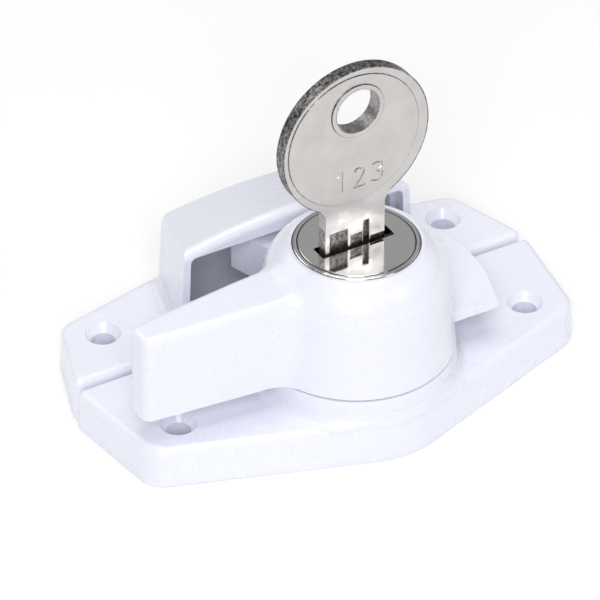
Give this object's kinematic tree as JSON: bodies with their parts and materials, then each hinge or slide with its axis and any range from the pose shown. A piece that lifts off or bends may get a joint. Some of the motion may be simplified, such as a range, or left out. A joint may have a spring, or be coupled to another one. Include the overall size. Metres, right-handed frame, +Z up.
{
  "type": "keyed sash window lock",
  "caption": "White enamelled sash window fastener: lever with wedge cam and key cylinder on a base plate, with a separate keeper plate whose hollow bridge takes the cam.",
  "frame": {"origin": "on the lever's axis, level with the undersides of both plates, midway between the lock base's two fixing holes", "axes": "+X along the plates, +Y from the lock base towards the keeper, +Z up out of the sash, along the lever's axis"},
  "size_m": [0.0752, 0.0501, 0.0569],
  "materials": {
    "paint": "gloss white enamel",
    "paint_keeper": "gloss white enamel",
    "bezel": "polished nickel plate",
    "plug_face": "mirror polished nickel plate",
    "key_metal": "satin nickel plate, worn",
    "steel": "plain bright steel",
    "brass": "plain brass"
  },
  "bodies": {
    "base": {"lock_base": "paint", "stop_pin": "steel", "thrust_washer": "brass", "keeper": "paint_keeper"},
    "lever": {"lever": "paint", "hub_plate": "steel", "hub_screws": "steel", "spring_washer": "steel", "retaining_ring": "steel", "cylinder_body": "bezel", "cylinder_clip": "steel"},
    "plug": {"plug": "plug_face", "plug_circlip": "steel", "drive_disc": "steel", "tail_screw": "steel", "wafer_springs": "steel", "wafer_1": "brass", "wafer_2": "brass", "wafer_3": "brass", "wafer_4": "brass", "wafer_5": "brass"},
    "bolt": {"locking_bolt": "steel"},
    "key": {"key": "key_metal"}
  },
  "joints": [
    {"name": "lever_turn", "type": "hinge", "parent": "base", "child": "lever", "pos_m": [0, 0, 0], "axis": [0, 0, 1], "range_deg": [0, 180]},
    {"name": "key_turn", "type": "hinge", "parent": "lever", "child": "plug", "pos_m": [0, 0, 0], "axis": [0, 0, 1], "range_deg": [0, 90]},
    {"name": "bolt_throw", "type": "slide", "parent": "lever", "child": "bolt", "axis": [0, -1, 0], "range_m": [0, 0.0022]},
    {"name": "key_pull", "type": "slide", "parent": "plug", "child": "key", "axis": [0, 0, 1], "range_m": [0, 0.03]}
  ],
  "couplings": [
    {"joint": "bolt_throw", "follows": "key_turn", "m_per_rad": 0.0012732}
  ]
}
